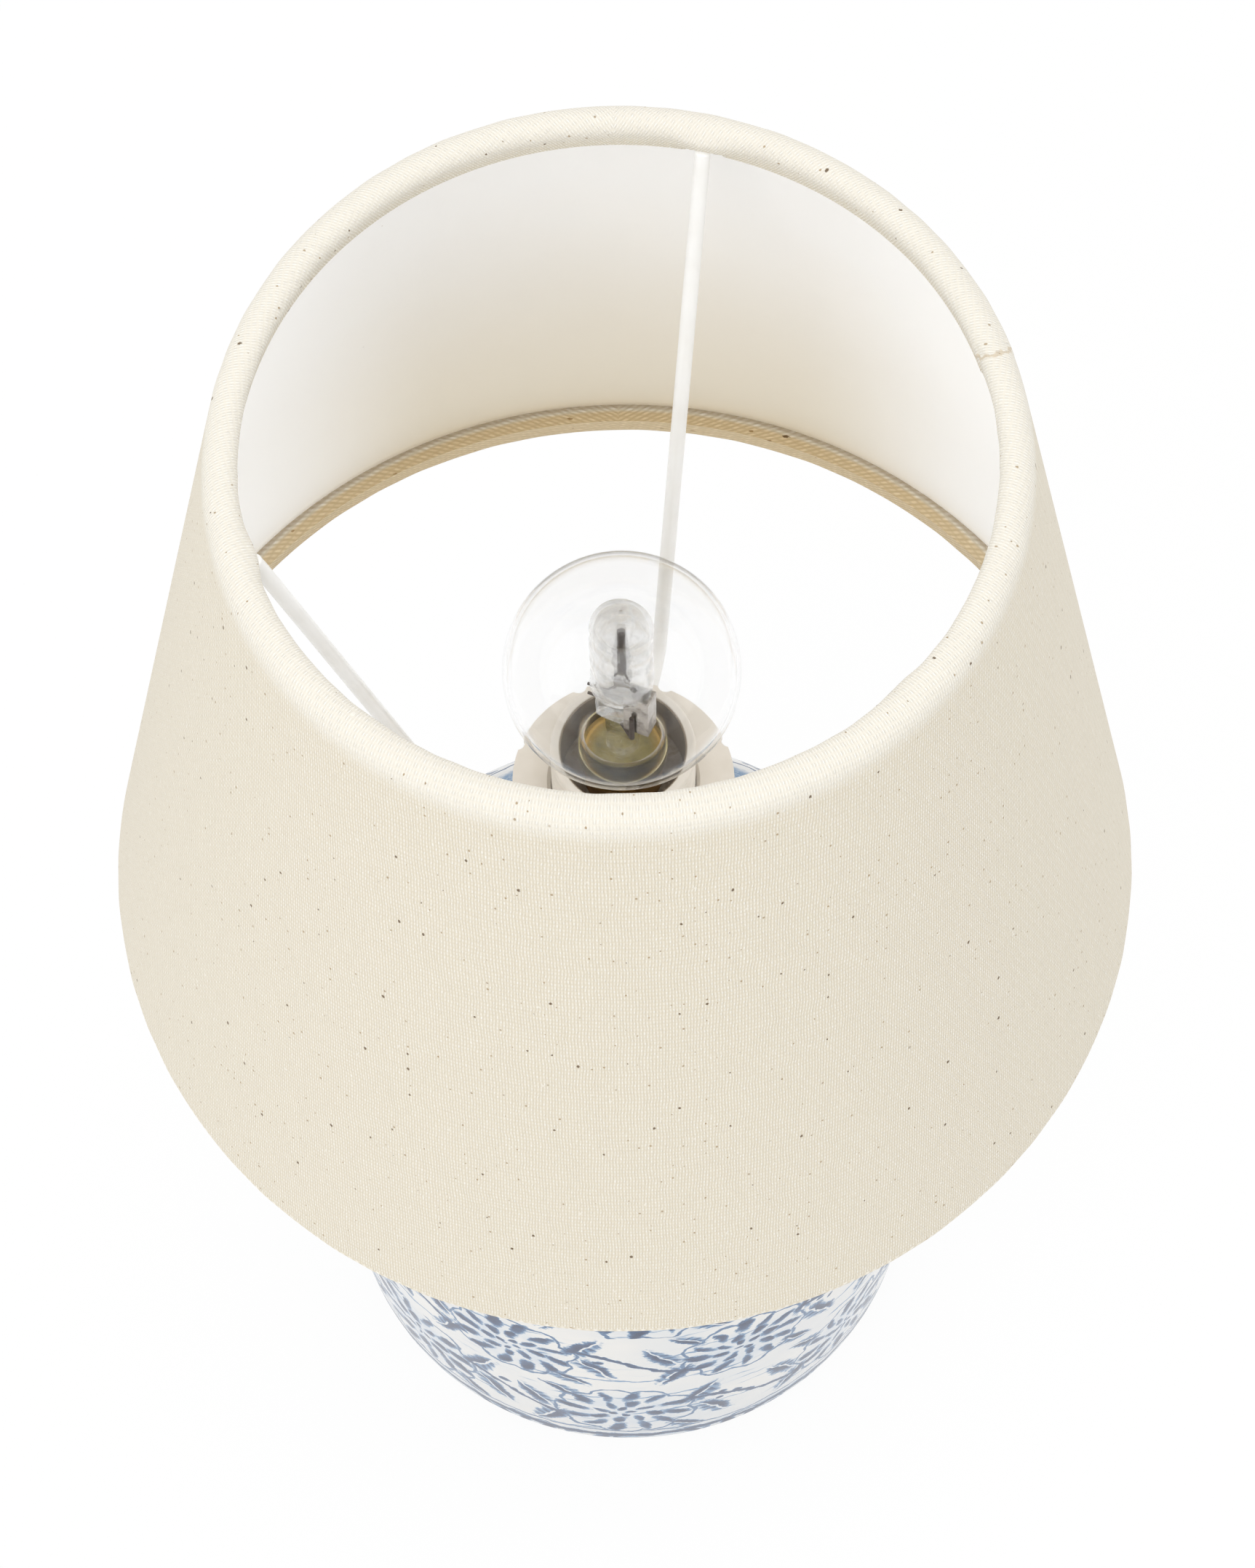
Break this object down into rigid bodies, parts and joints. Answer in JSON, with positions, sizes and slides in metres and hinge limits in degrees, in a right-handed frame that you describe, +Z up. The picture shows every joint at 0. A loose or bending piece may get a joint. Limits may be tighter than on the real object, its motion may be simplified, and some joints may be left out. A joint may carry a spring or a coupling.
{
  "type": "ginger jar lamp",
  "caption": "Table lamp with a ceramic ginger jar base and lid, a small screw lampholder with a clear round bulb, and a tapered canvas shade on a three-armed frame.",
  "frame": {"origin": "middle of the felt pad's underside, on the surface that the lamp stands on", "axes": "+Z up through the jar, the lampholder and the bulb; -Y towards the viewer of the picture; +Y the back, where the cord bush is"},
  "size_m": [0.199, 0.199, 0.3414],
  "materials": {
    "felt": "dark green wool felt",
    "glazed_ceramic": "off-white glaze with blue brushwork",
    "bush_plastic": "moulded, off-white",
    "zinc_steel": "zinc plated",
    "cushion_rubber": "matt black",
    "enamel": "white enamel",
    "holder_plastic": "moulded, warm beige",
    "insert_resin": "dark moulded resin",
    "contact_brass": "bare brass",
    "cotton_canvas": "natural cotton canvas, plain weave",
    "shade_lining": "white film, satin",
    "clear_glass": "clear",
    "bulb_metal": "dull plated",
    "insulator_glass": "black glass",
    "solder": "dull solder",
    "bright_steel": "bright spring steel",
    "dark_wire": "dark, oxidised"
  },
  "bodies": {
    "lamp_base": {"felt_pad": "felt", "jar_body": "glazed_ceramic", "cord_bush": "bush_plastic", "jar_lid": "glazed_ceramic", "lamp_rod": "zinc_steel", "cushion_washer": "cushion_rubber", "base_washer": "zinc_steel", "base_nut": "zinc_steel", "lid_washer": "enamel", "neck_sleeve": "enamel", "holder_cap": "holder_plastic", "grub_screw": "zinc_steel", "holder_body": "holder_plastic", "contact_insert": "insert_resin", "terminal_blocks": "contact_brass", "terminal_screws": "zinc_steel", "screw_shell": "contact_brass", "centre_contact": "contact_brass", "seat_ring": "holder_plastic"},
    "shade": {"fitter_ring": "enamel", "arm_back": "enamel", "arm_right": "enamel", "arm_left": "enamel", "top_ring": "enamel", "bottom_ring": "enamel", "shade_cover": "cotton_canvas", "shade_lining": "shade_lining", "top_hem": "cotton_canvas", "bottom_hem": "cotton_canvas"},
    "clamp": {"clamp_ring": "holder_plastic"},
    "bulb": {"bulb_glass": "clear_glass", "bulb_cap": "bulb_metal", "bulb_insulator": "insulator_glass", "bulb_contact": "solder", "bulb_stem": "clear_glass", "burner_glass": "clear_glass", "burner_clip": "bright_steel", "burner_leads": "dark_wire", "support_wire": "dark_wire", "filament": "dark_wire"}
  },
  "joints": [
    {"name": "shade_turn", "type": "hinge", "parent": "lamp_base", "child": "shade", "pos_m": [0, 0, 0.2083], "axis": [0, 0, 1], "continuous": true},
    {"name": "clamp_turn", "type": "hinge", "parent": "lamp_base", "child": "clamp", "pos_m": [0, 0, 0.21], "axis": [0, 0, 1], "range_deg": [0, 2160]},
    {"name": "bulb_turn", "type": "hinge", "parent": "lamp_base", "child": "bulb", "pos_m": [0, 0, 0.227], "axis": [0, 0, 1], "range_deg": [0, 1440]}
  ]
}
